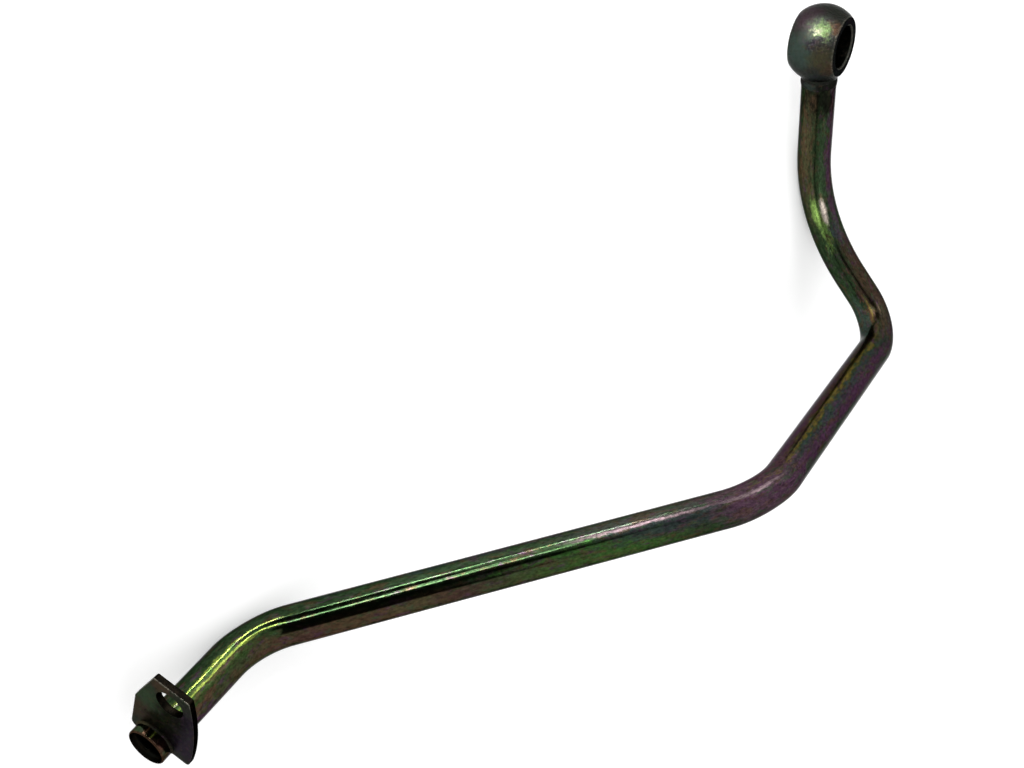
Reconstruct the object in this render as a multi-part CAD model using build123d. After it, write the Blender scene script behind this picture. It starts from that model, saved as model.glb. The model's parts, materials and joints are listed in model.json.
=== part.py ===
from build123d import *
import math
import os

# Oil pump pipe: a bent steel tube with a one-bolt plate near its spigot end
# and a banjo eye at its far end, lying as it comes to rest. Millimetres.

# Tube stock
tube_od = 12.0
tube_wall = 1.0

# Bending schedule, from the spigot end to the banjo eye.
# A turn is how far the tube is rotated in the bender before the next bend.
straight_1 = 32.8
straight_2 = 135.1
straight_3 = 93.9
straight_4 = 9.2
straight_5 = 28.5
bend_angle_1 = 44.0
bend_angle_2 = 44.5
bend_angle_3 = 90.0
bend_angle_4 = 43.5
bend_radius_1 = 28.0
bend_radius_2 = 35.0
bend_radius_3 = 17.0
bend_radius_4 = 70.0
turn_2 = 169.5
turn_3 = 58.5
turn_4 = 70.5

# Share of the tube's radius that each bend loses in its own plane, the share of
# that loss by which it widens, and the share by which its outside pulls inwards
flattening_1 = 0.06
flattening_2 = 0.08
flattening_3 = 0.06
flattening_4 = 0.0
widening_share = 0.5
outside_share = 0.5

# Spigot
spigot_length = 3.3
spigot_chamfer = 0.4

# Mounting plate, measured from the pipe's axis along and across the plate
plate_thickness = 2.0
plate_turn = -148.7
plate_skew = 6.5
plate_near_edge = -0.5
plate_length = 30.6
plate_left = 8.0
plate_right = 11.8
plate_shoulder = 15.8
plate_tip_left = 3.3
plate_tip_right = 8.1
plate_right_bulge = 1.6
plate_left_corner = 2.2
plate_right_corner = 1.2
plate_tip_corner = 0.5
bolt_hole_diameter = 8.4
bolt_hole_along = 23.6
bolt_hole_across = 2.7
notch_clearance = 0.1
notch_bevel_depth = 0.4

# Banjo eye
eye_turn = -78.6
eye_width = 16.2
eye_bore = 14.2
eye_face_diameter = 19.8
eye_ball_diameter = 26.0
eye_bore_chamfer = 0.5
eye_face_chamfer = 0.4
neck_reach = 14.2
neck_land = 1.4
neck_root_radius = 9.2
neck_root_reach = 6.5
stub_length = 6.0
stub_clearance = 0.05
stub_bore = 7.0

# Brazing
flange_fillet = 1.3
fillet_hollow_share = 0.38
braze_bead_width = 2.6
braze_bead_height = 0.3

# How the finished pipe leans when it lies on its first and last bends
lean_roll = 97.75
lean_pitch = 18.54
lean_yaw = 0.0

tube_radius = tube_od / 2
bore_radius = tube_radius - tube_wall


def cross_plane(frame):
    """Plane square to the tube, with its x along the bend's normal."""
    return Plane(origin=frame.origin, x_dir=frame.z_dir, z_dir=frame.x_dir)


def ahead(frame, length):
    """The frame after a straight: x_dir is the way the tube runs, z_dir the bend's normal."""
    return Plane(origin=frame.origin + frame.x_dir * length, x_dir=frame.x_dir, z_dir=frame.z_dir)


def turned(frame, angle):
    """The frame after the tube is rotated in the bender."""
    normal = frame.z_dir.rotate(Axis((0, 0, 0), frame.x_dir), angle)
    return Plane(origin=frame.origin, x_dir=frame.x_dir, z_dir=normal)


def bent(frame, radius, angle):
    """The frame after a bend towards y_dir."""
    centre = frame.origin + frame.y_dir * radius
    pivot = Axis(centre, frame.z_dir)
    start_arm = frame.origin - centre
    arm = start_arm.rotate(Axis((0, 0, 0), pivot.direction), angle)
    heading = frame.x_dir.rotate(Axis((0, 0, 0), pivot.direction), angle)
    return Plane(origin=centre + arm, x_dir=heading, z_dir=frame.z_dir)


def route():
    """Every straight and bend as (kind, start frame, size, angle, flattening), then the end frame."""
    schedule = (
        (straight_1, 0.0, bend_radius_1, bend_angle_1, flattening_1),
        (straight_2, turn_2, bend_radius_2, bend_angle_2, flattening_2),
        (straight_3, turn_3, bend_radius_3, bend_angle_3, flattening_3),
        (straight_4, turn_4, bend_radius_4, bend_angle_4, flattening_4),
    )
    frame = Plane.XY
    steps = []
    for straight, turn, radius, angle, flattening in schedule:
        steps.append(("straight", frame, straight, 0.0, 0.0))
        frame = turned(ahead(frame, straight), turn)
        steps.append(("bend", frame, radius, angle, flattening))
        frame = bent(frame, radius, angle)
    steps.append(("straight", frame, straight_5, 0.0, 0.0))
    return steps, ahead(frame, straight_5)


def bend_section(frame, radius, share, angle, flattening, section_radius):
    """The tube's oval section at a share of the way round a bend."""
    here = bent(frame, radius, angle * share)
    loss = flattening * math.sin(math.pi * share) ** 2
    widening = loss * widening_share
    oval = Ellipse(section_radius * (1 + widening), section_radius * (1 - loss))
    inwards = loss * outside_share * tube_radius
    return cross_plane(here) * Pos(0, -inwards) * oval


def rod_along(steps, section_radius):
    """A solid rod that follows the whole route, oval in the bends that flatten it."""
    pieces = []
    for kind, frame, size, angle, flattening in steps:
        if kind == "straight":
            pieces.append(extrude(cross_plane(frame) * Circle(section_radius), amount=size))
        elif flattening == 0:
            path = bend_path(frame, size, angle)
            pieces.append(sweep(cross_plane(frame) * Circle(section_radius), path=path))
        else:
            path = bend_path(frame, size, angle)
            shares = (0.0, 0.25, 0.5, 0.75, 1.0)
            rings = [bend_section(frame, size, s, angle, flattening, section_radius) for s in shares]
            pieces.append(sweep(rings, path=path, multisection=True))
    rod = pieces[0]
    for piece in pieces[1:]:
        rod += piece
    return rod


def bend_path(frame, radius, angle):
    """The centreline arc of one bend."""
    start = frame.origin
    middle = bent(frame, radius, angle / 2).origin
    end = bent(frame, radius, angle).origin
    return ThreePointArc(start, middle, end)


def feed_pipe(steps):
    """The bent tube, with the rim of its spigot end broken."""
    pipe = rod_along(steps, tube_radius) - rod_along(steps, bore_radius)
    circles = pipe.edges().filter_by(GeomType.CIRCLE)
    outer_circles = [e for e in circles if math.isclose(e.radius, tube_radius)]
    rim = ShapeList(outer_circles).sort_by_distance(steps[0][1].origin)[0]
    return chamfer(rim, spigot_chamfer)


def plate_plane(steps):
    """The plane of the plate's front face: x along the plate, z along the pipe."""
    start = steps[0][1]
    along = start.z_dir.rotate(Axis((0, 0, 0), start.x_dir), plate_turn - plate_skew)
    origin = start.origin + start.x_dir * spigot_length
    return Plane(origin=origin, x_dir=along, z_dir=start.x_dir)


def mounting_flange(steps):
    """The stamped plate, with its notch around the pipe and one bolt hole."""
    near_left = (plate_near_edge, -plate_left)
    near_right = (plate_near_edge, plate_right)
    shoulder = (plate_shoulder, -plate_left)
    tip_left = (plate_length, -plate_tip_left)
    tip_right = (plate_length, plate_tip_right)
    outline = Curve() + [
        Line(near_left, shoulder),
        Line(shoulder, tip_left),
        Line(tip_left, tip_right),
        SagittaArc(tip_right, near_right, -plate_right_bulge),
        Line(near_right, near_left),
    ]
    blank = make_face(outline)
    blank = fillet(blank.vertices().sort_by_distance(near_left)[0], plate_left_corner)
    blank = fillet(blank.vertices().sort_by_distance(near_right)[0], plate_right_corner)
    blank = fillet(blank.vertices().sort_by_distance(tip_left)[0], plate_tip_corner)
    blank = fillet(blank.vertices().sort_by_distance(tip_right)[0], plate_tip_corner)
    hole = Pos(bolt_hole_along, bolt_hole_across) * Circle(bolt_hole_diameter / 2)
    notch = Circle(tube_radius + notch_clearance)
    plate = extrude(blank, amount=plate_thickness)
    plate -= extrude(hole, amount=plate_thickness)
    plate -= extrude(notch, amount=plate_thickness)
    bevel = Cone(
        tube_radius + flange_fillet,
        tube_radius + notch_clearance,
        notch_bevel_depth,
        align=(Align.CENTER, Align.CENTER, Align.MIN),
    )
    return plate_plane(steps).location * (plate - bevel)


def flange_braze(steps):
    """Filler metal between plate and pipe: it fills the bevelled notch, with a fillet on each face."""
    film = tube_radius + notch_clearance
    front = -flange_fillet
    back = plate_thickness + flange_fillet
    toe = tube_radius + flange_fillet
    sag = fillet_hollow_share * flange_fillet
    back_hollow = (tube_radius + sag, plate_thickness + sag)
    front_hollow = (tube_radius + sag, -sag)
    profile = Curve() + [
        Line((tube_radius, front), (tube_radius, back)),
        ThreePointArc((tube_radius, back), back_hollow, (toe, plate_thickness)),
        Line((toe, plate_thickness), (film, plate_thickness)),
        Line((film, plate_thickness), (film, notch_bevel_depth)),
        Line((film, notch_bevel_depth), (toe, 0)),
        ThreePointArc((toe, 0), front_hollow, (tube_radius, front)),
    ]
    section = Plane.XZ * make_face(profile)
    ring = revolve(section, axis=Axis.Z)
    reach = 4 * toe
    keep = Pos(plate_near_edge + reach / 2, 0, 0) * Box(reach, reach, reach)
    return plate_plane(steps).location * (ring & keep)


def eye_frame(end_frame):
    """Frame at the eye's centre: z along its bore, x back towards the pipe."""
    bore_dir = end_frame.z_dir.rotate(Axis((0, 0, 0), end_frame.x_dir), eye_turn)
    centre = end_frame.origin + end_frame.x_dir * neck_reach
    return Plane(origin=centre, x_dir=end_frame.x_dir * -1, z_dir=bore_dir)


def banjo_eye(end_frame):
    """The forged eye: ball with two flats, tapered neck, through bore, and a stub in the pipe."""
    half = eye_width / 2
    face = eye_face_diameter / 2
    ball = eye_ball_diameter / 2
    barrel = Curve() + [
        Line((0, -half), (face, -half)),
        ThreePointArc((face, -half), (ball, 0), (face, half)),
        Line((face, half), (0, half)),
        Line((0, half), (0, -half)),
    ]
    outline = make_face(barrel)
    for corner in ((face, -half), (face, half)):
        outline = chamfer(outline.vertices().sort_by_distance(corner)[0], eye_face_chamfer)
    body = revolve(Plane.XZ * outline, axis=Axis.Z)
    taper = Curve() + [
        Line((0, neck_root_radius), (neck_root_reach, neck_root_radius)),
        Line((neck_root_reach, neck_root_radius), (neck_reach - neck_land, tube_radius)),
        Line((neck_reach - neck_land, tube_radius), (neck_reach, tube_radius)),
        Line((neck_reach, tube_radius), (neck_reach, 0)),
        Line((neck_reach, 0), (0, 0)),
        Line((0, 0), (0, neck_root_radius)),
    ]
    neck = revolve(make_face(taper), axis=Axis.X)
    slab = Box(4 * ball, 4 * ball, eye_width)
    body += neck & slab
    stub_radius = bore_radius - stub_clearance
    stub = Pos(neck_reach, 0, 0) * Rot(0, 90, 0) * Cylinder(
        stub_radius, stub_length, align=(Align.CENTER, Align.CENTER, Align.MIN)
    )
    body += stub
    body -= Cylinder(eye_bore / 2, 2 * eye_width)
    feed = Rot(0, 90, 0) * Cylinder(
        stub_bore / 2, 2 * neck_reach + stub_length, align=(Align.CENTER, Align.CENTER, Align.MIN)
    )
    body -= feed
    circles = body.edges().filter_by(GeomType.CIRCLE)
    mouths = [e for e in circles if math.isclose(e.radius, eye_bore / 2)]
    body = chamfer(mouths, eye_bore_chamfer)
    return eye_frame(end_frame).location * body


def banjo_braze(end_frame):
    """The bead of filler metal around the butt joint of pipe and neck."""
    half = braze_bead_width / 2
    top = tube_radius + braze_bead_height
    profile = Curve() + [
        Line((-half, tube_radius), (half, tube_radius)),
        ThreePointArc((half, tube_radius), (0, top), (-half, tube_radius)),
    ]
    bead = revolve(make_face(profile), axis=Axis.X)
    return end_frame.location * bead


def laid_down(parts):
    """The pieces turned to lie at rest, with the bounding box centred on the origin's floor."""
    lean = Rot(0, 0, lean_yaw) * Rot(0, lean_pitch, 0) * Rot(lean_roll, 0, 0)
    leaned = {name: lean * shape for name, shape in parts.items()}
    box = Compound(children=[Compound(children=s.solids()) for s in leaned.values()]).bounding_box()
    middle = box.center()
    shift = Pos(-middle.X, -middle.Y, -box.min.Z)
    return {name: shift * shape for name, shape in leaned.items()}, shift * lean


def build():
    steps, end_frame = route()
    parts = {
        "feed_pipe": feed_pipe(steps),
        "mounting_flange": mounting_flange(steps),
        "flange_braze": flange_braze(steps),
        "banjo_eye": banjo_eye(end_frame),
        "banjo_braze": banjo_braze(end_frame),
    }
    return laid_down(parts)


if __name__ == "__main__":
    os.makedirs("parts", exist_ok=True)
    placed, place = build()
    for name, shape in placed.items():
        export_step(shape, f"parts/{name}.step")
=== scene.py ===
import bpy
import json
import math
from mathutils import Matrix, Quaternion, Vector, geometry, noise


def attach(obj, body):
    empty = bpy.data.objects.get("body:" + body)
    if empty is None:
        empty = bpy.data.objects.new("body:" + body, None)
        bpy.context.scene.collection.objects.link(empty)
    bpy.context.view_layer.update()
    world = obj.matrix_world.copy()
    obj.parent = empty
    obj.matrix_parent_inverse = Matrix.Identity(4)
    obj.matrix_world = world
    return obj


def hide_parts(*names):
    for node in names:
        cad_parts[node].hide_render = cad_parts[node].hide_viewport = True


# Oil pump pipe: a drawn tube under iridescent chromate, a stamped plate, a forged eye and two brazed joints

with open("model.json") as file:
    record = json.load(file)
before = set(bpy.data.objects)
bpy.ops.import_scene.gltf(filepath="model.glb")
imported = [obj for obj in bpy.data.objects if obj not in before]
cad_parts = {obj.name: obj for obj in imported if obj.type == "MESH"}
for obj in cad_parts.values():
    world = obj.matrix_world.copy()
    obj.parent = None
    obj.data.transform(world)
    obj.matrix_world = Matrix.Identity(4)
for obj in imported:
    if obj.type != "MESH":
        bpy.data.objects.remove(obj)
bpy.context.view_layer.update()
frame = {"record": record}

MM = 0.001

# Tube and bending schedule, as the CAD model has them
tube_radius = 6.0
bore_radius = 5.0
outer_lip = 0.45
inner_lip = 0.2
drawn_wobble = 0.03
wobble_scale = 1.3
wobble_run = (0.02, 0.045)
straights = (32.8, 135.1, 93.9, 9.2, 28.5)
bend_angles = (44.0, 44.5, 90.0, 43.5)
bend_radii = (28.0, 35.0, 17.0, 70.0)
turns = (0.0, 169.5, 58.5, 70.5)
flattenings = (0.06, 0.08, 0.06, 0.0)
widening_share = 0.5
outside_share = 0.5
lean_roll = 97.75
lean_pitch = 18.54

# Plate, from the pipe's axis
spigot_length = 3.3
plate_thickness = 2.0
plate_turn = -148.7
plate_skew = 6.5
plate_near_edge = -0.5
plate_length = 30.6
plate_left = 8.0
plate_right = 11.8
plate_shoulder = 15.8
plate_tip_left = 3.3
plate_tip_right = 8.1
plate_right_bulge = 1.6
plate_left_round = 2.2
plate_right_round = 1.2
plate_shoulder_round = 0.8
plate_tip_round = 0.6
bolt_hole_radius = 4.2
bolt_hole_along = 23.6
bolt_hole_across = 2.7
edge_rolling = 0.22
# Worn bare metal on the rolled edge, strongest at the tip, where it is also the edge's painted highlight
worn_and_lit_tip = 2.0
tip_wear_and_highlight = 1.0
side_wear_and_highlight = 0.12
back_wear_and_highlight_share = 0.6

# Eye
eye_turn = -78.6
eye_half_width = 8.1
eye_bore_radius = 7.1
eye_face_radius = 9.9
eye_ball_radius = 13.0
eye_bore_chamfer = 0.5
neck_reach = 14.2
neck_land = 1.4
neck_root_radius = 9.2
neck_root_reach = 6.5
neck_swell = 0.25
neck_run_in = 0.4
neck_step = 0.02
ball_swing = 58.0
forging_voxel = 0.3
forging_dents = ((0.035, 0.55), (0.02, 1.8))
# Worn bare metal at the bore's mouths and the faces' rims, which also paints their edge highlights
mouth_wear_and_highlight = 0.4
mouth_wear_and_highlight_reach = 0.08
face_wear_and_highlight = 0.35
face_wear_and_highlight_reach = 0.5

# Brazing
fillet_reach = 1.3
fillet_front_share = 0.55
fillet_spread = 95.0
braze_film = 0.1
braze_into_tube = 0.05
braze_into_plate = 0.02
fillet_waves = ((0.28, 2.6), (0.12, 9.0))
bead_width = 2.6
bead_height = 0.3
bead_waves = ((0.25, 1.7), (0.1, 6.0))

lean = Matrix.Rotation(math.radians(lean_pitch), 3, "Y") @ Matrix.Rotation(math.radians(lean_roll), 3, "X")


def turn_about(vector, axis, degrees):
    return Quaternion(axis, math.radians(degrees)) @ vector


def bend_schedule():
    """Each straight and bend in the pipe's own axes: kind, start, heading, normal, size, angle, loss."""
    place = Vector((0, 0, 0))
    heading = Vector((1, 0, 0))
    normal = Vector((0, 0, 1))
    steps = []
    for i, angle in enumerate(bend_angles):
        steps.append(("straight", place, heading, normal, straights[i], 0.0, 0.0))
        place = place + heading * straights[i]
        normal = turn_about(normal, heading, turns[i])
        steps.append(("bend", place, heading, normal, bend_radii[i], angle, flattenings[i]))
        inwards = normal.cross(heading)
        centre = place + inwards * bend_radii[i]
        place = centre + turn_about(place - centre, normal, angle)
        heading = turn_about(heading, normal, angle)
    steps.append(("straight", place, heading, normal, straights[-1], 0.0, 0.0))
    return steps, place + heading * straights[-1], heading, normal


steps, pipe_end, end_heading, end_normal = bend_schedule()
eye_axis_local = turn_about(end_normal, end_heading, eye_turn)
eye_centre_local = pipe_end + end_heading * neck_reach
bore_mount = next(m for m in frame["record"]["mounts"] if m["name"] == "banjo_bore")
shift = Vector(bore_mount["pos_m"]) - lean @ eye_centre_local * MM


def at(local_mm):
    """A point of the pipe's own axes, in the frame's metres."""
    return lean @ local_mm * MM + shift


def waves(place, rows, level=0):
    """A level with noise added at several scales; each row is a height and a scale."""
    return sum((height * noise.noise(place * scale) for height, scale in rows), start=level)


def mesh_object(name, verts, faces, uvs=None, smooth=True):
    mesh = bpy.data.meshes.new(name)
    mesh.from_pydata([tuple(v) for v in verts], [], faces)
    if uvs:
        layer = mesh.uv_layers.new(name="skin")
        for loop in mesh.loops:
            layer.data[loop.index].uv = uvs[loop.vertex_index]
    mesh.polygons.foreach_set("use_smooth", [smooth] * len(mesh.polygons))
    mesh.update()
    obj = bpy.data.objects.new(name, mesh)
    bpy.context.scene.collection.objects.link(obj)
    return obj


# The tube

straight_step = 2.5
bend_step = 0.8
around = 96
seam_turn = 115.0


def tube_stations():
    """Rings along the tube: run from the spigot's end, centre, heading, inward side, bend normal, loss."""
    stations = []
    run = 0.0
    for kind, start, heading, normal, size, angle, flattening in steps:
        inwards = normal.cross(heading)
        if kind == "straight":
            count = max(4, round(size / straight_step))
            for k in range(count):
                along = size * k / count
                stations.append((run + along, start + heading * along, heading, inwards, normal, 0.0))
            run += size
        else:
            arc = size * math.radians(angle)
            centre = start + inwards * size
            count = max(16, round(arc / bend_step))
            for k in range(count):
                share = k / count
                swung = centre + turn_about(start - centre, normal, angle * share)
                now = turn_about(heading, normal, angle * share)
                loss = flattening * math.sin(math.pi * share) ** 2
                stations.append((run + arc * share, swung, now, normal.cross(now), normal, loss))
            run += arc
    stations.append((run, pipe_end, end_heading, end_normal.cross(end_heading), end_normal, 0.0))
    return stations


stations = tube_stations()
tube_length = stations[-1][0]


def tube_ring(station, up, radius, wobble):
    """One ring of points, pressed oval in the bend's plane."""
    run, centre, heading, inwards, normal, loss = station
    side = heading.cross(up)
    points = []
    for k in range(around + 1):
        angle = math.radians(seam_turn + 360.0 * (k % around) / around)
        out = up * math.cos(angle) + side * math.sin(angle)
        reach = radius
        if wobble:
            place = [part * wobble_scale for part in out]
            place[0] += run * wobble_run[0]
            place[2] += run * wobble_run[1]
            reach += wobble * noise.noise(Vector(place))
        point = normal * out.dot(normal) * reach * (1 + loss * widening_share)
        point += inwards * out.dot(inwards) * reach * (1 - loss)
        point += inwards * loss * outside_share * tube_radius
        points.append(centre + point)
    return points


def carried_up():
    """For each station the direction that was up at the spigot, carried along without twist."""
    up = lean.inverted() @ Vector((0, 0, 1))
    ups = []
    for station in stations:
        heading = station[2]
        up = (up - up.dot(heading) * heading).normalized()
        ups.append(up)
    return ups


def tube_rows(last):
    """The rings to skin, from the bore's far end round the rim and back: index, radius, ahead, wobble."""
    rows = []
    for index in range(last, -1, -1):
        rows.append((index, bore_radius, 0.0, 0.0))
    for degrees in (30, 60, 90):
        swing = math.radians(degrees)
        radius = bore_radius + inner_lip * (1 - math.cos(swing))
        rows.append((0, radius, inner_lip * (1 - math.sin(swing)), 0.0))
    rows.append((0, (tube_radius + bore_radius) / 2, 0.0, 0.0))
    for degrees in (90, 70, 50, 30, 12, 0):
        swing = math.radians(degrees)
        radius = tube_radius - outer_lip + outer_lip * math.cos(swing)
        rows.append((0, radius, outer_lip * (1 - math.sin(swing)), 0.0))
    for index in range(1, last + 1):
        rows.append((index, tube_radius, 0.0, drawn_wobble))
    return rows


def tube_mesh():
    verts = []
    faces = []
    uvs = []
    ups = carried_up()
    last = len(stations) - 1
    rows = tube_rows(last)
    for index, radius, ahead, wobble in rows:
        run, centre, heading, inwards, normal, loss = stations[index]
        station = (run, centre + heading * ahead, heading, inwards, normal, loss)
        for k, point in enumerate(tube_ring(station, ups[index], radius, wobble)):
            verts.append(at(point))
            uvs.append((k / around, (run + ahead) / tube_length))
    width = around + 1
    for row in range(len(rows) - 1):
        for k in range(around):
            a = row * width + k
            faces.append((a, a + 1, a + 1 + width, a + width))
    tail = (len(rows) - 1) * width
    for k in range(around):
        faces.append((tail + k, tail + k + 1, k + 1, k))
    tube = mesh_object("drawn_tube", verts, faces, uvs)
    bore_strips = last + 5
    for face in tube.data.polygons[:bore_strips * around]:
        face.material_index = 1
    return tube


tube = tube_mesh()
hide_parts("feed_pipe")

# The plate

pipe_normal = Vector((0, 0, 1))
pipe_heading = Vector((1, 0, 0))
plate_along = turn_about(pipe_normal, pipe_heading, plate_turn - plate_skew)
plate_across = pipe_heading.cross(plate_along)
plate_origin = pipe_heading * spigot_length


def rounded(corners):
    """A closed outline from (x, y, radius) corners, each rounded by its own arc."""
    outline = []
    count = len(corners)
    for i, (x, y, radius) in enumerate(corners):
        here = Vector((x, y))
        before = (Vector(corners[i - 1][:2]) - here).normalized()
        after = (Vector(corners[(i + 1) % count][:2]) - here).normalized()
        if radius == 0:
            outline.append(here)
            continue
        half = before.angle(after) / 2
        back = radius / math.tan(half)
        centre = here + (before + after).normalized() * (radius / math.sin(half))
        start = here + before * back - centre
        end = here + after * back - centre
        for k in range(9):
            share = k / 8
            arm = start.lerp(end, share).normalized() * radius
            outline.append(centre + arm)
    return outline


def plate_outline():
    near_right = Vector((plate_near_edge, plate_right))
    tip_right = Vector((plate_length, plate_tip_right))
    chord = near_right - tip_right
    out = Vector((-chord.y, chord.x)).normalized()
    if out.y < 0:
        out = -out
    radius = (chord.length / 2) ** 2 / (2 * plate_right_bulge) + plate_right_bulge / 2
    centre = (near_right + tip_right) / 2 - out * (radius - plate_right_bulge)
    flank = []
    for k in range(1, 12):
        chord_point = tip_right.lerp(near_right, k / 12)
        arm = (chord_point - centre).normalized() * radius
        flank.append((centre + arm).to_tuple() + (0,))
    film = tube_radius + braze_film
    notch = []
    reach = math.degrees(math.acos(plate_near_edge / film))
    for k in range(33):
        angle = math.radians(reach - 2 * reach * k / 32)
        notch.append((film * math.cos(angle), film * math.sin(angle), 0))
    corners = [
        (plate_near_edge, -plate_left, plate_left_round),
        (plate_shoulder, -plate_left, plate_shoulder_round),
        (plate_length, -plate_tip_left, plate_tip_round),
        (plate_length, plate_tip_right, plate_tip_round),
    ]
    corners += flank
    corners += [(plate_near_edge, plate_right, plate_right_round)]
    corners += notch
    return rounded(corners)


def wound(loop, anticlockwise):
    """The loop, turned so that it runs the way asked."""
    area = sum(a.x * b.y - b.x * a.y for a, b in zip(loop, loop[1:] + loop[:1]))
    return loop if (area > 0) == anticlockwise else loop[::-1]


def inset(loop, distance):
    """The loop moved into the metal, which lies on its left."""
    moved = []
    for i, here in enumerate(loop):
        before = (here - loop[i - 1]).normalized()
        after = (loop[(i + 1) % len(loop)] - here).normalized()
        left = Vector((-before.y - after.y, before.x + after.x))
        left.normalize()
        across = max(0.6, left.dot(Vector((-before.y, before.x))))
        moved.append(here + left * distance / across)
    return moved


def plate_point(x, y, height):
    return at(plate_origin + plate_along * x + plate_across * y + pipe_heading * height)


def plate_loops():
    """The outline and the bolt hole, each running with the metal on its left."""
    outline = []
    for point in plate_outline():
        if not outline or (point - outline[-1]).length > 0.01:
            outline.append(point)
    hole = []
    for k in range(72):
        angle = 2 * math.pi * k / 72
        arm = Vector((math.cos(angle), math.sin(angle))) * bolt_hole_radius
        hole.append(Vector((bolt_hole_along, bolt_hole_across)) + arm)
    return wound(outline, True), wound(hole, False)


def edge_profile():
    """The rolled edge from the front face to the back one: how far in, how high, how worn and how bright
    its painted highlight.
    """
    profile = []
    for degrees, wear_and_highlight in ((90, 0.0), (60, 0.7), (30, 1.0), (0, 0.5)):
        swing = math.radians(degrees)
        profile.append((edge_rolling * (1 - math.cos(swing)), edge_rolling * (1 - math.sin(swing)), wear_and_highlight))
    for deep, height, wear_and_highlight in profile[::-1]:
        profile.append((deep, plate_thickness - height, wear_and_highlight * back_wear_and_highlight_share))
    return profile


def stamped_plate():
    """The plate, drawn loop by loop from its front face over the rolled edge to its back face."""
    loops = plate_loops()
    profile = edge_profile()
    verts = []
    wear_and_highlight_of = []
    firsts = []
    for deep, height, wear_and_highlight in profile:
        starts = []
        for which, loop in enumerate(loops):
            starts.append(len(verts))
            for point in inset(loop, deep):
                verts.append(plate_point(point.x, point.y, height))
                # The tip's edge is painted brightest: its wear also stands for the edge's highlight
                share = tip_wear_and_highlight if point.x > plate_length - worn_and_lit_tip else side_wear_and_highlight
                wear_and_highlight_of.append(wear_and_highlight * share if which == 0 else 0.0)
        firsts.append(starts)
    faces = []
    cut_faces = []
    for level in range(len(profile) - 1):
        for which, loop in enumerate(loops):
            count = len(loop)
            if level >= 3 or which == 1:
                cut_faces += range(len(faces), len(faces) + count)
            a = firsts[level][which]
            b = firsts[level + 1][which]
            for k in range(count):
                following = (k + 1) % count
                faces.append((a + k, b + k, b + following, a + following))
    sides = len(faces)
    flat = [[Vector((p.x, p.y, 0)) for p in inset(loop, profile[0][0])] for loop in loops]
    corners_of = flat[0] + flat[1]
    for level in (0, len(profile) - 1):
        first = firsts[level][0]
        for corners in geometry.tessellate_polygon(flat):
            order = [first + k for k in corners]
            a, b, c = [corners_of[k] for k in corners]
            upward = (b - a).cross(c - a).z > 0
            faces.append(tuple(order if upward == (level != 0) else reversed(order)))
    plate = mesh_object("stamped_plate", verts, faces)
    smooth = [True] * sides + [False] * (len(faces) - sides)
    plate.data.polygons.foreach_set("use_smooth", smooth)
    for k in cut_faces:
        plate.data.polygons[k].material_index = 1
    store_wear_and_highlight(plate.data, wear_and_highlight_of)
    return plate


def store_wear_and_highlight(mesh, values):
    layer = mesh.attributes.new("wear_and_highlight", "FLOAT", "POINT")
    layer.data.foreach_set("value", values)


plate = stamped_plate()
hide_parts("mounting_flange")

# The filler metal

def plate_braze():
    """A ragged fillet of filler metal on both faces of the plate, round the notched side of the pipe."""
    verts = []
    faces = []
    columns = 90
    profile = []
    for k in range(9):
        swing = math.radians(90 * k / 8)
        profile.append((1 - math.sin(swing), -(1 - math.cos(swing))))
    core = tube_radius - braze_into_tube
    for c in range(columns + 1):
        angle = math.radians(-fillet_spread + 2 * fillet_spread * c / columns)
        out = plate_along * math.cos(angle) + plate_across * math.sin(angle)
        taper = min(1.0, (columns / 2 - abs(c - columns / 2)) / 5 + 0.35)
        size = fillet_reach * waves(out, fillet_waves, 1) * taper
        small = size * fillet_front_share
        ring = []
        for right, front in profile:
            height = small * front - braze_into_plate
            ring.append(out * (core + small * right) + pipe_heading * height)
        for right, front in reversed(profile):
            height = plate_thickness - size * front + braze_into_plate
            ring.append(out * (core + size * right) + pipe_heading * height)
        for point in ring:
            verts.append(at(plate_origin + point))
    width = 2 * len(profile)
    for c in range(columns):
        for k in range(width):
            a = c * width + k
            b = c * width + (k + 1) % width
            faces.append((a, b, b + width, a + width))
    faces.append(tuple(range(width - 1, -1, -1)))
    faces.append(tuple(columns * width + k for k in range(width)))
    return mesh_object("plate_braze", verts, faces)


def eye_braze():
    """The uneven bead round the butt joint of pipe and eye."""
    verts = []
    faces = []
    columns = 128
    rows = 10
    side = end_normal.cross(end_heading)
    for c in range(columns):
        angle = 2 * math.pi * c / columns
        out = end_normal * math.cos(angle) + side * math.sin(angle)
        width = bead_width * waves(out, bead_waves, 1)
        height = bead_height * (1 + 0.35 * noise.noise(out * 2.3 + Vector((5, 0, 0))))
        offset = 0.35 * noise.noise(out * 1.4 + Vector((0, 7, 0)))
        for r in range(rows + 1):
            share = r / rows
            lift = height * math.sin(math.pi * share) ** 0.7 if 0 < r < rows else -braze_into_tube
            along = offset + width * (share - 0.5)
            verts.append(at(pipe_end + end_heading * along + out * (tube_radius + lift)))
    width = rows + 1
    for c in range(columns):
        for r in range(rows):
            a = c * width + r
            b = ((c + 1) % columns) * width + r
            faces.append((a, a + 1, b + 1, b))
    return mesh_object("eye_braze", verts, faces)


fillet = plate_braze()
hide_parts("flange_braze")
bead = eye_braze()
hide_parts("banjo_braze")

# The forged eye

eye_x = -end_heading
eye_z = eye_axis_local
eye_y = eye_z.cross(eye_x)


def eye_point(x, y, z):
    return at(eye_centre_local + eye_x * x + eye_y * y + eye_z * z)


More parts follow.
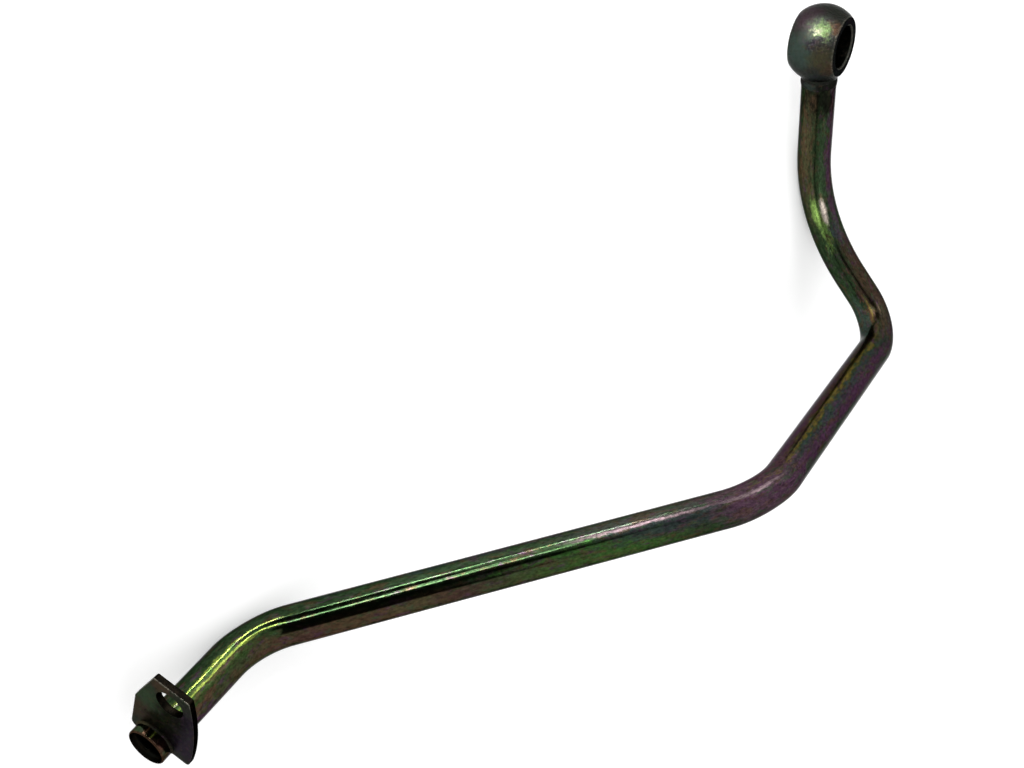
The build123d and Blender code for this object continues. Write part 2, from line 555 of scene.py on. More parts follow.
def revolved(name, profile, axis, segments, downward=False):
    """A profile of (radius, height) pairs, which may run downward, turned round the bore or the neck."""
    verts = []
    faces = []
    for c in range(segments):
        angle = 2 * math.pi * c / segments
        for radius, height in profile:
            if axis == "bore":
                verts.append((radius * math.cos(angle), radius * math.sin(angle), height))
            else:
                verts.append((height, radius * math.cos(angle), radius * math.sin(angle)))
    width = len(profile)
    facing_up = axis == "bore" and not downward
    for c in range(segments):
        for r in range(width - 1):
            a = c * width + r
            b = ((c + 1) % segments) * width + r
            faces.append((a, b, b + 1, a + 1) if facing_up else (a, a + 1, b + 1, b))
    first = [c * width for c in range(segments)]
    last = [c * width + width - 1 for c in range(segments)]
    faces.append(tuple(reversed(first)) if facing_up else tuple(first))
    faces.append(tuple(last) if facing_up else tuple(reversed(last)))
    return mesh_object(name, verts, faces)


def baked(obj):
    """Applies the object's modifiers to its mesh."""
    bpy.context.view_layer.update()
    mesh = bpy.data.meshes.new_from_object(obj.evaluated_get(bpy.context.evaluated_depsgraph_get()))
    obj.modifiers.clear()
    obj.data = mesh


def combined(body, tool, operation):
    """Joins the tool to the body or cuts it out of the body, and removes the tool."""
    modifier = body.modifiers.new("combine", "BOOLEAN")
    modifier.operation = operation
    modifier.solver = "EXACT"
    modifier.object = tool
    baked(body)
    bpy.data.objects.remove(tool)


def forged_blank():
    """The ball-sided blank with its neck, joined and softened, with the shallow dents of a forging."""
    drop = eye_ball_radius - eye_face_radius
    arc_radius = (drop ** 2 + eye_half_width ** 2) / (2 * drop)
    arc_centre = eye_ball_radius - arc_radius
    ball = []
    for k in range(49):
        swing = math.radians(-ball_swing + 2 * ball_swing * k / 48)
        ball.append((arc_centre + arc_radius * math.cos(swing), arc_radius * math.sin(swing)))
    blank = revolved("forged_eye", ball, "bore", 160)
    land = neck_reach - neck_land
    profile = [
        (neck_root_radius, 0.0),
        (neck_root_radius, neck_root_reach),
        (tube_radius + neck_swell, land - neck_run_in),
        (tube_radius + neck_step, land),
        (tube_radius, neck_reach),
    ]
    combined(blank, revolved("neck_blank", profile, "neck", 96), "UNION")
    remesh = blank.modifiers.new("skin", "REMESH")
    remesh.mode = "VOXEL"
    remesh.voxel_size = forging_voxel
    smooth = blank.modifiers.new("soften", "SMOOTH")
    smooth.factor = 0.5
    smooth.iterations = 6
    baked(blank)
    for vertex in blank.data.vertices:
        here = vertex.co
        out = Vector((here.x, here.y, 0)).normalized()
        vertex.co = here + out * waves(here, forging_dents)
    return blank


def bore_tool():
    """What machining takes away: the bore with its chamfers, and all that lies beyond the two faces."""
    wide = 3 * eye_ball_radius
    spare = 8
    upper = [
        (wide, eye_half_width + spare),
        (wide, eye_half_width),
        (eye_bore_radius + eye_bore_chamfer, eye_half_width),
        (eye_bore_radius, eye_half_width - eye_bore_chamfer),
    ]
    lower = [(radius, -height) for radius, height in reversed(upper)]
    return revolved("bore_tool", upper + lower, "bore", 128, downward=True)


def wear_and_highlight_at(x, y, z):
    """How bright the eye is worn, with its edge highlights painted in: along the bore's two mouths and
    along the rims of the two faces.
    """
    rim = math.hypot(x, y)
    off_face = abs(z) - eye_half_width
    if math.hypot(rim - eye_bore_radius - eye_bore_chamfer, off_face) < mouth_wear_and_highlight_reach:
        return mouth_wear_and_highlight
    return face_wear_and_highlight if math.hypot(rim - eye_face_radius, off_face) < face_wear_and_highlight_reach else 0.0


def forged_eye():
    """The eye, with its skin in material 0, its two flat faces in 1 and its bore in 2."""
    body = forged_blank()
    combined(body, bore_tool(), "DIFFERENCE")
    wear_and_highlight_of = [wear_and_highlight_at(*vertex.co) for vertex in body.data.vertices]
    body.data.materials.clear()
    for face in body.data.polygons:
        x, y, z = face.center
        faced = abs(z) > eye_half_width - 0.01
        bored = math.hypot(x, y) < eye_bore_radius + 0.02 and not faced
        face.material_index = 2 if bored else 1 if faced else 0
    for vertex in body.data.vertices:
        vertex.co = eye_point(*vertex.co)
    store_wear_and_highlight(body.data, wear_and_highlight_of)
    body.data.polygons.foreach_set("use_smooth", [True] * len(body.data.polygons))
    body.data.set_sharp_from_angle(angle=math.radians(32))
    return body


eye = forged_eye()
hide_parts("banjo_eye")

for piece in (tube, plate, fillet, bead, eye):
    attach(piece, "root")

# Materials

class Nodes:
    """A short way to write node trees."""

    def __init__(self, tree):
        self.tree = tree
        tree.nodes.clear()

    def add(self, kind, inputs=(), **settings):
        node = self.tree.nodes.new(kind)
        for key, value in settings.items():
            setattr(node, key, value)
        for key, value in dict(inputs).items():
            self.put(node.inputs[key], value)
        return node

    def put(self, socket, value):
        if isinstance(value, bpy.types.NodeSocket):
            self.tree.links.new(value, socket)
        else:
            socket.default_value = value

    def math(self, operation, a, b=0.0, clamp=False):
        return self.add("ShaderNodeMath", {0: a, 1: b}, operation=operation, use_clamp=clamp).outputs[0]

    def vector(self, operation, a, b=(0, 0, 0), out=0):
        return self.add("ShaderNodeVectorMath", {0: a, 1: b}, operation=operation).outputs[out]

    def scaled(self, vector, factor):
        return self.add("ShaderNodeVectorMath", {0: vector, "Scale": factor}, operation="SCALE").outputs[0]

    def smoothstep(self, value, low, high):
        inputs = {"Value": value, "From Min": low, "From Max": high}
        return self.add("ShaderNodeMapRange", inputs, interpolation_type="SMOOTHSTEP").outputs["Result"]

    def spread(self, value, low, high, to_low, to_high):
        inputs = {"Value": value, "From Min": low, "From Max": high, "To Min": to_low, "To Max": to_high}
        return self.add("ShaderNodeMapRange", inputs).outputs["Result"]

    def mix(self, factor, a, b):
        node = self.add("ShaderNodeMix", data_type="RGBA", blend_type="MIX", clamp_factor=True)
        self.put(node.inputs["Factor"], factor)
        self.put(node.inputs[6], a)
        self.put(node.inputs[7], b)
        return node.outputs[2]

    def noise(self, vector, scale, detail=3.0, roughness=0.5, distortion=0.0):
        inputs = {"Vector": vector, "Scale": scale, "Detail": detail, "Roughness": roughness}
        inputs["Distortion"] = distortion
        return self.add("ShaderNodeTexNoise", inputs)


def colour(red, green, blue):
    """A reflectance written as the sRGB shade it is seen as in a white room, out of 255."""
    linear = []
    for channel in (red, green, blue):
        share = channel / 255
        linear.append(share / 12.92 if share <= 0.04045 else ((share + 0.055) / 1.055) ** 2.4)
    return (*linear, 1.0)


# Interference colours of the chromate, and the colours of painted highlights
green = colour(35, 51, 31)
leaf = colour(52, 72, 34)
fern = colour(50, 68, 46)
moss = colour(58, 62, 40)
olive = colour(66, 62, 42)
straw = colour(92, 80, 38)
highlight_lime = colour(90, 116, 58)
umber = colour(68, 52, 38)
bronze = colour(56, 44, 34)
copper = colour(80, 58, 44)
rust = colour(64, 44, 41)
mauve = colour(76, 55, 68)
plum = colour(68, 44, 64)
teal = colour(52, 66, 60)
slate = colour(46, 54, 55)
ash = colour(62, 66, 61)
highlight_rose = colour(106, 90, 94)
highlight_salmon = colour(128, 98, 84)
highlight_bright_lime = colour(112, 140, 72)
highlight_pale = colour(150, 140, 130)
dusk = colour(38, 31, 42)
highlight_gold = colour(108, 122, 52)
grass = colour(46, 86, 36)
brick = colour(88, 60, 50)
highlight_glow = colour(176, 136, 110)
soot_and_shade = colour(18, 19, 14)

# Bare metal that also paints edge highlights, oil, the painted shade of bores and cut edges, and the ground
# shade of each smaller piece
bare_edge_and_highlight = colour(116, 112, 102)
oily_and_shaded = colour(14, 15, 12)
oil_brown = colour(24, 20, 15)
plate_shade = colour(40, 44, 36)
plate_edge_painted_shade = colour(10, 9, 7)
eye_shade = colour(44, 46, 42)
face_shade = colour(30, 32, 33)
eye_bore_painted_shade = colour(9, 11, 10)
braze_shade = colour(34, 33, 27)
bead_shade = colour(33, 32, 31)

# How much of a metal's grazing shine the dark coat lets through
grazing_tint = (0.46, 0.46, 0.46, 1.0)
oily_tint = (0.08, 0.08, 0.08, 1.0)
face_tint = (0.3, 0.3, 0.3, 1.0)


def chromate(name, tint=grazing_tint):
    material = bpy.data.materials.new(name)
    material.use_nodes = True
    nodes = Nodes(material.node_tree)
    shader = nodes.add("ShaderNodeBsdfPrincipled", {"Metallic": 1.0, "Specular Tint": tint})
    out = nodes.add("ShaderNodeOutputMaterial")
    nodes.put(out.inputs["Surface"], shader.outputs[0])
    return material, nodes, shader


# Patches of the tube's coat: shade, middle and half length in mm, middle and half width in degrees, share
coat_patches = (
    (leaf, 24, 22, 200, 30, 0.8),
    (moss, 40, 24, 255, 34, 0.8),
    (umber, 72, 34, 252, 34, 0.9),
    (rust, 58, 9, 258, 24, 0.7),
    (olive, 88, 9, 250, 24, 0.8),
    (rust, 106, 12, 250, 26, 0.8),
    (moss, 130, 20, 252, 34, 0.8),
    (leaf, 150, 24, 246, 30, 0.8),
    (copper, 154, 6, 262, 12, 0.6),
    (plum, 132, 26, 134, 7, 0.5),
    (leaf, 128, 12, 214, 12, 0.7),
    (grass, 142, 24, 216, 10, 0.8),
    (grass, 152, 15, 250, 22, 0.5),
    # Painted shade: the soot patch along the underside of the long run darkens it where the floor would be
    # reflected
    (soot_and_shade, 105, 60, 290, 13, 0.9),
    (slate, 100, 60, 132, 14, 0.6),
    (fern, 110, 40, 168, 12, 0.8),
    (ash, 164, 26, 162, 22, 0.8),
    (slate, 170, 24, 210, 26, 0.8),
    (mauve, 204, 20, 180, 110, 0.95),
    (plum, 250, 60, 118, 24, 0.9),
    (rust, 262, 66, 142, 11, 0.8),
    (straw, 262, 62, 161, 8, 0.9),
    (slate, 264, 56, 184, 11, 0.9),
    (plum, 262, 62, 216, 24, 0.95),
    (teal, 322, 16, 100, 30, 0.9),
    (copper, 328, 8, 143, 8, 0.9),
    (rust, 330, 26, 152, 9, 0.8),
    (bronze, 338, 30, 178, 18, 0.8),
    (rust, 345, 26, 200, 18, 0.7),
    (slate, 369, 6, 180, 26, 0.9),
    # Painted highlight: the lime patch in the last bend is the first lobe of its highlight
    (highlight_lime, 375, 9, 130, 22, 0.8),
    (olive, 404, 30, 104, 26, 0.9),
    (copper, 412, 20, 92, 10, 0.6),
    (fern, 404, 24, 158, 12, 0.7),
    (plum, 402, 38, 194, 20, 0.9),
    (plum, 17, 9, 264, 18, 0.8),
    (copper, 15, 6, 238, 12, 0.8),
    (bronze, 2, 8, 180, 150, 0.8),
)

# Crisper spots: painted highlights (two streaks, the last bend's two bright lobes, dashes on the spigot's
# rim, two lines over the first bend), colour spots on the spigot's rim and in the third bend, grime by the
# neck
spots_and_painted_highlights = (
    (highlight_rose, 162, 22, 186, 6, 0.9),
    (highlight_bright_lime, 376, 5, 123, 13, 1.0),
    (highlight_pale, 376, 5, 152, 11, 1.0),
    (copper, 328, 6, 142, 6, 0.8),
    (straw, 330, 8, 147, 4, 0.8),
    (brick, 1.5, 3, 222, 18, 0.9),
    (fern, 1.5, 2.5, 148, 14, 0.8),
    (highlight_glow, 1.4, 1.6, 173, 5, 1.0),
    (highlight_gold, 2, 1.2, 192, 5, 0.8),
    (highlight_salmon, 1.2, 0.7, 206, 8, 1.0),
    (highlight_gold, 30, 22, 180, 3.2, 0.85),
    (highlight_gold, 30, 22, 196, 3.2, 0.85),
    (highlight_rose, 199, 11, 187, 5, 0.9),
    (soot_and_shade, 424, 4, 146, 40, 0.8),
    (soot_and_shade, 420, 3, 168, 16, 0.8),
    (soot_and_shade, 420, 4, 205, 10, 0.6),
    (umber, 422, 4, 120, 14, 0.7),
)


# Clouds over the tube's coat: shade, offset, scale, distortion, and the noise levels where they fade in
coat_clouds = (
    (umber, (0, 5, 0), 0.5, 0.5, 0.5, 0.62),
    (fern, (31, 7, 3), 0.7, 0.3, 0.52, 0.64),
    (plum, (3, 71, 9), 0.6, 0.3, 0.53, 0.66),
)
cloud_strength = 0.65

# How noises are drawn out along the tube
streak_stretch = (1, 1, 0.2)
flow_stretch = (0.8, 0.8, 0.3)
mottle_stretch = (1, 1, 0.5)
scratch_stretch = (1, 1, 0.05)

# Stretches of the tube where its finish changes, in mm from the spigot's end
burnt_rim = (0.7, 0.1)
neck_grime = (411.0, 421.0)
dull_start = (135.0, 175.0)
dull_bend_middle = 203.0
dull_bend_reach = (20, 10)


def patched(nodes, coat, place, patches):
    for shade, middle, half, side, width, strength in patches:
        away = nodes.vector("SUBTRACT", place, (side, middle, 0))
        distance = nodes.vector("LENGTH", nodes.vector("DIVIDE", away, (width, half, 1)), out=1)
        mask = nodes.smoothstep(distance, 1.4, 0.5)
        coat = nodes.mix(nodes.math("MULTIPLY", mask, strength), coat, shade)
    return coat


def bumped(nodes, shader, strength, depth, height):
    bump = nodes.add("ShaderNodeBump", {"Strength": strength, "Distance": depth, "Height": height})
    nodes.put(shader.inputs["Normal"], bump.outputs[0])


def unrolled(nodes):
    """A point's degrees round the tube, its mm along it, and its place if the tube were straight."""
    skin = nodes.add("ShaderNodeUVMap", uv_map="skin").outputs[0]
    split = nodes.add("ShaderNodeSeparateXYZ", {0: skin})
    turn = nodes.math("MULTIPLY", split.outputs[0], 360.0)
    along = nodes.math("MULTIPLY", split.outputs[1], tube_length)
    swing = nodes.math("MULTIPLY", split.outputs[0], 2 * math.pi)
    ring_x = nodes.math("MULTIPLY", nodes.math("COSINE", swing), tube_radius)
    ring_y = nodes.math("MULTIPLY", nodes.math("SINE", swing), tube_radius)
    body = nodes.add("ShaderNodeCombineXYZ", {0: ring_x, 1: ring_y, 2: along}).outputs[0]
    return turn, along, body


def wandering(nodes, turn, along, moves):
    """A place on the tube, moved about by noises, each with its reach in degrees and in mm."""
    for field, reach_round, reach_along in moves:
        round_step = nodes.spread(field.outputs[0], 0.3, 0.7, -reach_round, reach_round)
        along_step = nodes.spread(field.outputs[1], 0.3, 0.7, -reach_along, reach_along)
        turn = nodes.math("ADD", turn, round_step)
        along = nodes.math("ADD", along, along_step)
    return nodes.add("ShaderNodeCombineXYZ", {0: turn, 1: along}).outputs[0]


def tube_coat(nodes, turn, along, body):
    """The tube's colour: patches and spots, with painted highlights and a painted shade among them, clouds,
    specks, burnt rim, grime and a fine mottle.
    """
    streaks = nodes.vector("MULTIPLY", body, streak_stretch)
    flow = nodes.vector("MULTIPLY", body, flow_stretch)
    warp = nodes.add("ShaderNodeSeparateColor", {0: nodes.noise(streaks, 0.2, 6.0, 0.72).outputs["Color"]})
    crumb = nodes.add("ShaderNodeSeparateColor", {0: nodes.noise(flow, 0.8, 5.0, 0.8).outputs["Color"]})
    place = wandering(nodes, turn, along, ((warp, 15.0, 10.0), (crumb, 18.0, 9.0)))
    coat = patched(nodes, green, place, coat_patches)
    fields = []
    for shade, offset, scale, distortion, low, high in coat_clouds:
        field = nodes.noise(nodes.vector("ADD", flow, offset), scale, 5.0, 0.75, distortion).outputs["Fac"]
        share = nodes.math("MULTIPLY", nodes.smoothstep(field, low, high), cloud_strength)
        coat = nodes.mix(share, coat, shade)
        fields.append(field)
    near_place = wandering(nodes, turn, along, ((crumb, 6.0, 1.5),))
    coat = patched(nodes, coat, near_place, spots_and_painted_highlights)
    specks = nodes.noise(body, 1.9, 2.0, 0.75).outputs["Fac"]
    coat = nodes.mix(nodes.smoothstep(specks, 0.66, 0.74), coat, soot_and_shade)
    burnt = nodes.smoothstep(along, *burnt_rim)
    coat = nodes.mix(burnt, coat, nodes.mix(fields[0], soot_and_shade, copper))
    grime = nodes.math("MULTIPLY", nodes.smoothstep(along, *neck_grime), 0.85)
    grime = nodes.math("MULTIPLY", grime, nodes.smoothstep(crumb.outputs[2], 0.4, 0.55))
    coat = nodes.mix(grime, coat, soot_and_shade)
    mottle = nodes.noise(nodes.vector("MULTIPLY", body, mottle_stretch), 1.3, 5.0, 0.8).outputs["Fac"]
    return nodes.scaled(coat, nodes.spread(mottle, 0.32, 0.68, 0.35, 1.7))


def tube_roughness(nodes, along, body):
    """Glossy as far as the second bend, duller from there on, and dullest in that bend."""
    cloud = nodes.noise(body, 0.5, 4.0, 0.6).outputs["Fac"]
    rough = nodes.spread(cloud, 0.3, 0.7, 0.08, 0.16)
    rough = nodes.math("ADD", rough, nodes.math("MULTIPLY", nodes.smoothstep(along, *dull_start), 0.09))
    from_bend = nodes.math("ABSOLUTE", nodes.math("SUBTRACT", along, dull_bend_middle))
    bend = nodes.smoothstep(from_bend, *dull_bend_reach)
    return nodes.math("ADD", rough, nodes.math("MULTIPLY", bend, 0.1))


def tube_finish():
    material, nodes, shader = chromate("tube_chromate")
    turn, along, body = unrolled(nodes)
    nodes.put(shader.inputs["Base Color"], tube_coat(nodes, turn, along, body))
    nodes.put(shader.inputs["Roughness"], tube_roughness(nodes, along, body))
    drawn = nodes.vector("MULTIPLY", body, scratch_stretch)
    scratches = nodes.noise(drawn, 3.0, 3.0, 0.6).outputs["Fac"]
    dimples = nodes.noise(body, 0.9, 3.0, 0.6).outputs["Fac"]
    height = nodes.math("ADD", nodes.math("MULTIPLY", scratches, 0.3), dimples)
    bumped(nodes, shader, 0.2, 0.00005, height)
    return material


def frame_place(nodes):
    """A point's place in the frame, in mm."""
    return nodes.scaled(nodes.add("ShaderNodeTexCoord").outputs["Object"], 1 / MM)


# How far noise moves the borders of zones, in mm
zone_wander = 12.0


def zoned_finish(name, base, zones, rough, bump, grit, edge, tint=grazing_tint):
    """A coat with zones of other shades, each given as shade, place in the frame's mm, reach, share."""
    material, nodes, shader = chromate(name, tint)
    place = frame_place(nodes)
    wander = nodes.noise(place, 0.35, 6.0, 0.8).outputs["Color"]
    shake = nodes.scaled(nodes.vector("SUBTRACT", wander, (0.5, 0.5, 0.5)), zone_wander)
    moved = nodes.vector("ADD", place, shake)
    coat = base
    for shade, middle, reach, strength in zones:
        distance = nodes.vector("DISTANCE", moved, middle, out=1)
        mask = nodes.smoothstep(distance, reach * 1.2, reach * 0.4)
        coat = nodes.mix(nodes.math("MULTIPLY", mask, strength), coat, shade)
    for step, other in enumerate((fern, plum, umber)):
        cloud = nodes.noise(nodes.vector("ADD", place, (13.0 * step, 4.0, 0)), 0.7, 5.0, 0.8).outputs["Fac"]
        share = nodes.math("MULTIPLY", nodes.smoothstep(cloud, 0.54, 0.66), 0.45)
        coat = nodes.mix(share, coat, other)
    fine = nodes.noise(place, grit, 4.0, 0.72).outputs["Fac"]
    tinted = nodes.scaled(coat, nodes.spread(fine, 0.3, 0.7, 0.6, 1.4))
    dark = nodes.smoothstep(nodes.noise(place, grit * 1.3, 2.0, 0.7).outputs["Fac"], 0.62, 0.72)
    coat = nodes.mix(nodes.math("MULTIPLY", dark, 0.8), tinted, soot_and_shade)
    # Worn bare metal along the edges, which also paints their highlights
    worn_and_lit = nodes.add("ShaderNodeAttribute", attribute_name="wear_and_highlight").outputs["Fac"]
    worn_and_lit = nodes.math("MULTIPLY", worn_and_lit, nodes.smoothstep(fine, 0.35, 0.6))
    nodes.put(shader.inputs["Base Color"], nodes.mix(worn_and_lit, coat, edge))
    nodes.put(shader.inputs["Roughness"], nodes.spread(fine, 0.3, 0.7, *rough))
    bumped(nodes, shader, *bump, fine)
    return material


def shaded_bore_finish(name, shade):
    """The dull inside of a hole, painted nearly black as shade, with oil stains."""
    material, nodes, shader = chromate(name, oily_tint)
    cloud = nodes.noise(frame_place(nodes), 0.8, 5.0, 0.7).outputs["Fac"]
    coat = nodes.mix(nodes.smoothstep(cloud, 0.4, 0.65), shade, oil_brown)
    nodes.put(shader.inputs["Base Color"], coat)
    nodes.put(shader.inputs["Roughness"], nodes.spread(cloud, 0.3, 0.7, 0.3, 0.5))
    bumped(nodes, shader, 0.3, 0.0001, cloud)
    return material


def on_plate(x, y):
    return plate_point(x, y, 0) / MM


eye_middle = eye_point(0, 0, 0) / MM


def on_eye(x, y, z):
    return eye_middle + Vector((x, y, z))


plate_zones = (
    (fern, on_plate(19, -5), 7, 0.6),
    (bronze, on_plate(10, -6), 6, 0.7),
    (umber, on_plate(29, -1), 4, 0.6),
    (dusk, on_plate(20, 11), 8, 0.9),
    (dusk, on_plate(8, 10), 8, 0.9),
    (soot_and_shade, on_plate(11, 1), 6, 0.7),
    (soot_and_shade, on_plate(19, 4), 6, 0.8),
)
# Painted highlight: the ash, lime and pale zones brighten the ball where the key lamp's highlight falls;
# the soot and dusk zones under them paint the dark band beneath it
eye_zones = (
    (mauve, on_eye(-6, 12, 0), 6, 0.45),
    (ash, on_eye(-7, 9, 6), 5, 0.8),
    (highlight_lime, on_eye(-8, 8, 6.5), 4, 0.45),
    (highlight_pale, on_eye(-9, 8, 5), 2, 0.4),
    (soot_and_shade, on_eye(-11, 3.5, 7), 2.6, 0.75),
    (copper, on_eye(-4, 8, 10), 3, 0.7),
    (teal, on_eye(-13, 1, 0), 7, 0.8),
    (dusk, on_eye(-11, 4, 6), 3, 0.7),
    (olive, on_eye(-10, -1, 7), 5, 0.7),
    (umber, on_eye(-7, -5, 9), 4, 0.6),
    (slate, on_eye(-9, -10, 3), 4, 0.6),
)
face_zones = ((dusk, on_eye(7, 6, 8), 6, 0.4),)
braze_zones = ((soot_and_shade, on_plate(6, 0), 5, 0.6), (olive, on_plate(4, -6), 4, 0.5))
bead_zones = ((soot_and_shade, on_eye(-2, -14, 3), 6, 0.7), (teal, on_eye(-6, -14, -2), 3, 0.4))

# Surfaces: roughness from smooth to coarse, bump strength and depth in metres, scale of the grit
stamped = ((0.25, 0.45), (0.25, 0.00008), 1.1)
forged = ((0.09, 0.27), (1.0, 0.00026), 1.5)
machined = ((0.3, 0.5), (0.25, 0.00006), 1.2)
brazed = ((0.3, 0.55), (0.6, 0.00012), 1.4)

finishes = (
    (tube, tube_finish()),
    (tube, shaded_bore_finish("tube_bore", oily_and_shaded)),
    (plate, zoned_finish("plate_chromate", plate_shade, plate_zones, *stamped, bare_edge_and_highlight)),
    (plate, shaded_bore_finish("plate_cut_edge", plate_edge_painted_shade)),
    (eye, zoned_finish("eye_chromate", eye_shade, eye_zones, *forged, bare_edge_and_highlight)),
    (eye, zoned_finish("eye_faces", face_shade, face_zones, *machined, face_shade, face_tint)),
    (eye, shaded_bore_finish("eye_bore", eye_bore_painted_shade)),
    (fillet, zoned_finish("braze_chromate", braze_shade, braze_zones, *brazed, bronze)),
    (bead, zoned_finish("bead_chromate", bead_shade, bead_zones, *brazed, bronze)),
)
for piece, material in finishes:
    piece.data.materials.append(material)

# The floor

floor_size = 6.0
paper_low = (0.9, 0.9, 0.9, 1)
paper_high = (0.93, 0.93, 0.93, 1)
paper_glow = 0.25


def pale_floor():
    corners = [(x * floor_size, y * floor_size, 0) for x, y in ((-1, -1), (1, -1), (1, 1), (-1, 1))]
    floor = mesh_object("floor", corners, [(0, 1, 2, 3)], smooth=False)
    paper = bpy.data.materials.new("pale_floor")
    paper.use_nodes = True
    nodes = Nodes(paper.node_tree)
    shader = nodes.add("ShaderNodeBsdfPrincipled", {"Roughness": 0.9, "Emission Strength": paper_glow})
    nodes.put(shader.inputs["Emission Color"], (1.0, 1.0, 1.0, 1.0))
    place = nodes.add("ShaderNodeTexCoord").outputs["Object"]
    mottle = nodes.noise(place, 3.0, 2.0).outputs["Fac"]
    shade = nodes.mix(nodes.smoothstep(mottle, 0.3, 0.7), paper_low, paper_high)
    nodes.put(shader.inputs["Base Color"], shade)
    out = nodes.add("ShaderNodeOutputMaterial")
    nodes.put(out.inputs["Surface"], shader.outputs[0])
    floor.data.materials.append(paper)
    return floor


floor = pale_floor()

# Light: a white room with a dark place behind the camera and a dark gap, bright bars and soft panels

sky_level = 1.0
dark_level = 0.03

# Windows of the room, in degrees: azimuth from and to, elevation from and to, softness of each
dark_gap = (79, 107, 3, 26, 2, 1.5)
bright_window = (28, 50, 28, 42, 5, 4)

# The dark place behind the camera, in degrees: its top falls away to the left of its peak
dark_sides = (91, 184, 5)
dark_peak = 178.0
dark_top = 74.0
dark_slope_width = 70.0
dark_slope_drop = 18.0
dark_foot_turn = (128.0, 146.0)
dark_foot = (33.0, 55.0)


def band(nodes, value, low, high, soft):
    """A mask that is 1 between low and high and 0 outside, with soft borders."""
    rise = nodes.smoothstep(value, low - soft, low + soft)
    fall = nodes.smoothstep(value, high + soft, high - soft)
    return nodes.math("MULTIPLY", rise, fall)


def window(nodes, azimuth, elevation, sides):
    az_low, az_high, el_low, el_high, soft_az, soft_el = sides
    across = band(nodes, azimuth, az_low, az_high, soft_az)
    return nodes.math("MULTIPLY", across, band(nodes, elevation, el_low, el_high, soft_el))


def behind_camera(nodes, azimuth, elevation):
    """A mask of the dark place behind the camera."""
    left = nodes.math("DIVIDE", nodes.math("SUBTRACT", dark_peak, azimuth), dark_slope_width, clamp=True)
    drop = nodes.math("MULTIPLY", nodes.math("POWER", left, 2.0), dark_slope_drop)
    top = nodes.math("SUBTRACT", dark_top, drop)
    foot = nodes.spread(nodes.smoothstep(azimuth, *dark_foot_turn), 0.0, 1.0, *dark_foot)
    below_top = nodes.smoothstep(nodes.math("SUBTRACT", top, elevation), -1.5, 1.5)
    above_foot = nodes.smoothstep(nodes.math("SUBTRACT", elevation, foot), -2.0, 2.0)
    upright = nodes.math("MULTIPLY", below_top, above_foot)
    return nodes.math("MULTIPLY", band(nodes, azimuth, *dark_sides), upright)


def room():
    world = bpy.data.worlds.new("room")
    bpy.context.scene.world = world
    world.use_nodes = True
    nodes = Nodes(world.node_tree)
    ray = nodes.add("ShaderNodeTexCoord").outputs["Generated"]
    split = nodes.add("ShaderNodeSeparateXYZ", {0: ray})
    turn = nodes.math("ARCTAN2", split.outputs[1], split.outputs[0])
    degrees = nodes.math("ADD", nodes.math("MULTIPLY", turn, 180 / math.pi), 360.0)
    azimuth = nodes.math("MODULO", degrees, 360.0)
    elevation = nodes.math("MULTIPLY", nodes.math("ARCSINE", split.outputs[2]), 180 / math.pi)
    gap = window(nodes, azimuth, elevation, dark_gap)
    dark = nodes.math("MAXIMUM", behind_camera(nodes, azimuth, elevation), gap)
    level = nodes.spread(dark, 0.0, 1.0, sky_level, dark_level)
    level = nodes.math("ADD", level, window(nodes, azimuth, elevation, bright_window))
    background = nodes.add("ShaderNodeBackground", {"Color": (1.0, 1.0, 1.0, 1), "Strength": level})
    out = nodes.add("ShaderNodeOutputWorld")
    nodes.put(out.inputs["Surface"], background.outputs[0])


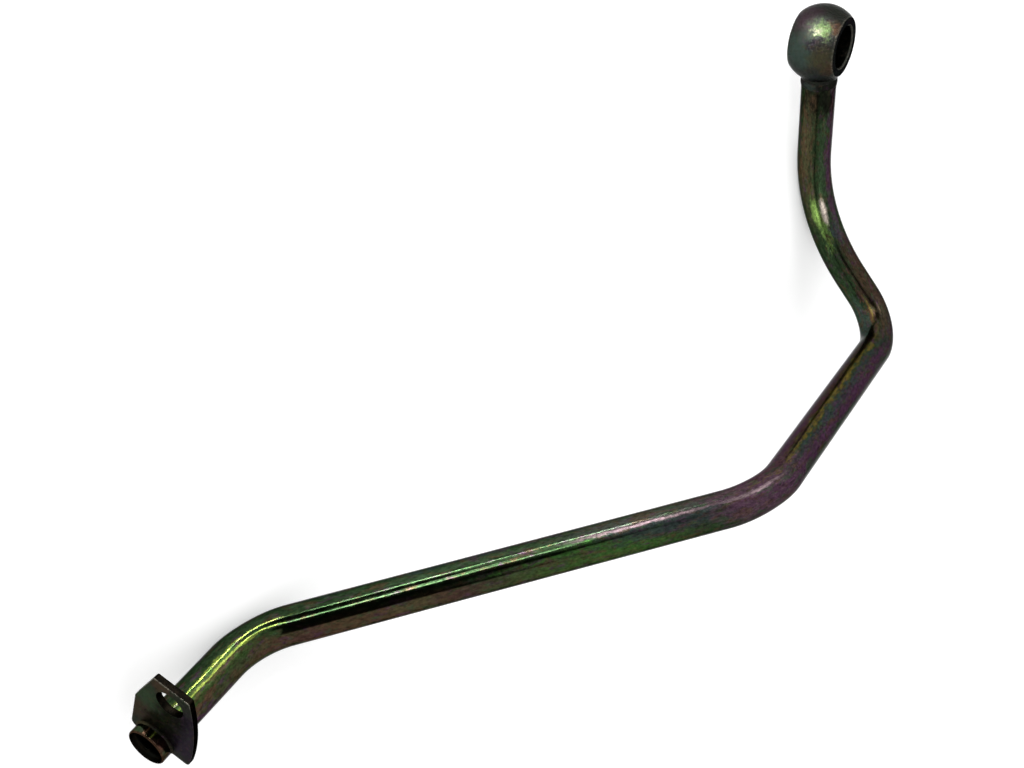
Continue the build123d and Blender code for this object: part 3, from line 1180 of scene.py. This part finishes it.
def panel(name, centre, width, height, radiance, aim, spread=160, roll=0):
    """A rectangular lamp as bright as asked when seen face on, however narrow its spread is."""
    light = bpy.data.lights.new(name, "AREA")
    light.shape = "RECTANGLE"
    light.size = width
    light.size_y = height
    half = math.radians(spread / 2)
    light.energy = radiance * math.pi * width * height * (math.tan(half) - half) / math.tan(half)
    light.spread = math.radians(spread)
    lamp = bpy.data.objects.new(name, light)
    lamp.location = centre
    lamp.rotation_mode = "QUATERNION"
    facing = (Vector(aim) - Vector(centre)).to_track_quat("-Z", "Y")
    lamp.rotation_quaternion = facing @ Quaternion((0, 0, 1), math.radians(roll))
    lamp.visible_camera = False
    bpy.context.scene.collection.objects.link(lamp)


ball_place = (0.137, 0.06, 0.02)
bend_place = (0.142, -0.013, 0.01)

# Lamps in the frame's metres: name, centre, width, height, radiance, aim, then spread and roll in degrees
lamps = (
    ("panel_wide", (0.0125, 0.18, 0.09), 0.075, 0.12, 2.6, (0.0125, -0.1, 0.09)),
    ("panel_hot", (0.032, 0.18, 0.126), 0.09, 0.026, 9.0, (0.032, -0.1, 0.126), 160, 35),
    ("panel_far", (0.231, 0.18, 0.23), 0.05, 0.08, 5.0, (0.03, -0.043, 0.072)),
    ("bar_low_left", (0.0, 0.45, 0.02), 0.13, 0.014, 85.0, (-0.087, -0.042, 0.03), 28),
    ("bar_low_right", (0.13, 0.45, 0.02), 0.15, 0.014, 85.0, (-0.057, -0.014, 0.03), 24),
    ("bar_line", (-0.105, 0.4, 0.272), 0.23, 0.028, 50.0, (-0.067, -0.033, 0.028), 32),
    ("bar_high", (-0.026, 0.18, 0.118), 0.118, 0.011, 26.0, (-0.026, -0.1, 0.118)),
    ("ball_key", (0.106, 0.11, 0.042), 0.036, 0.042, 52.0, ball_place, 42),
    ("bend_key", (0.09, -0.073, 0.137), 0.02, 0.09, 5.0, bend_place, 24),
    ("bend_fill", (0.0576, -0.0608, 0.034), 0.009, 0.05, 4.0, bend_place, 24),
)

room()
for lamp in lamps:
    panel(*lamp)
bpy.context.scene.view_settings.view_transform = "Standard"

# Camera, at the photograph's viewing angle

camera_place = Vector((-0.195194, 0.207288, 0.295347))
camera_heading = Vector((0.46705, -0.52216, -0.71359))
camera_roll = 114.592
camera_data = bpy.data.cameras.new("camera")
camera_data.lens = 45.314
camera_data.sensor_width = 36.0
camera_data.clip_start = 0.01
camera = bpy.data.objects.new("camera", camera_data)
camera.location = camera_place
tilt = camera_heading.to_track_quat("-Z", "Y")
camera.rotation_mode = "QUATERNION"
camera.rotation_quaternion = tilt @ Quaternion((0, 0, 1), math.radians(camera_roll))
bpy.context.scene.collection.objects.link(camera)
bpy.context.scene.camera = camera
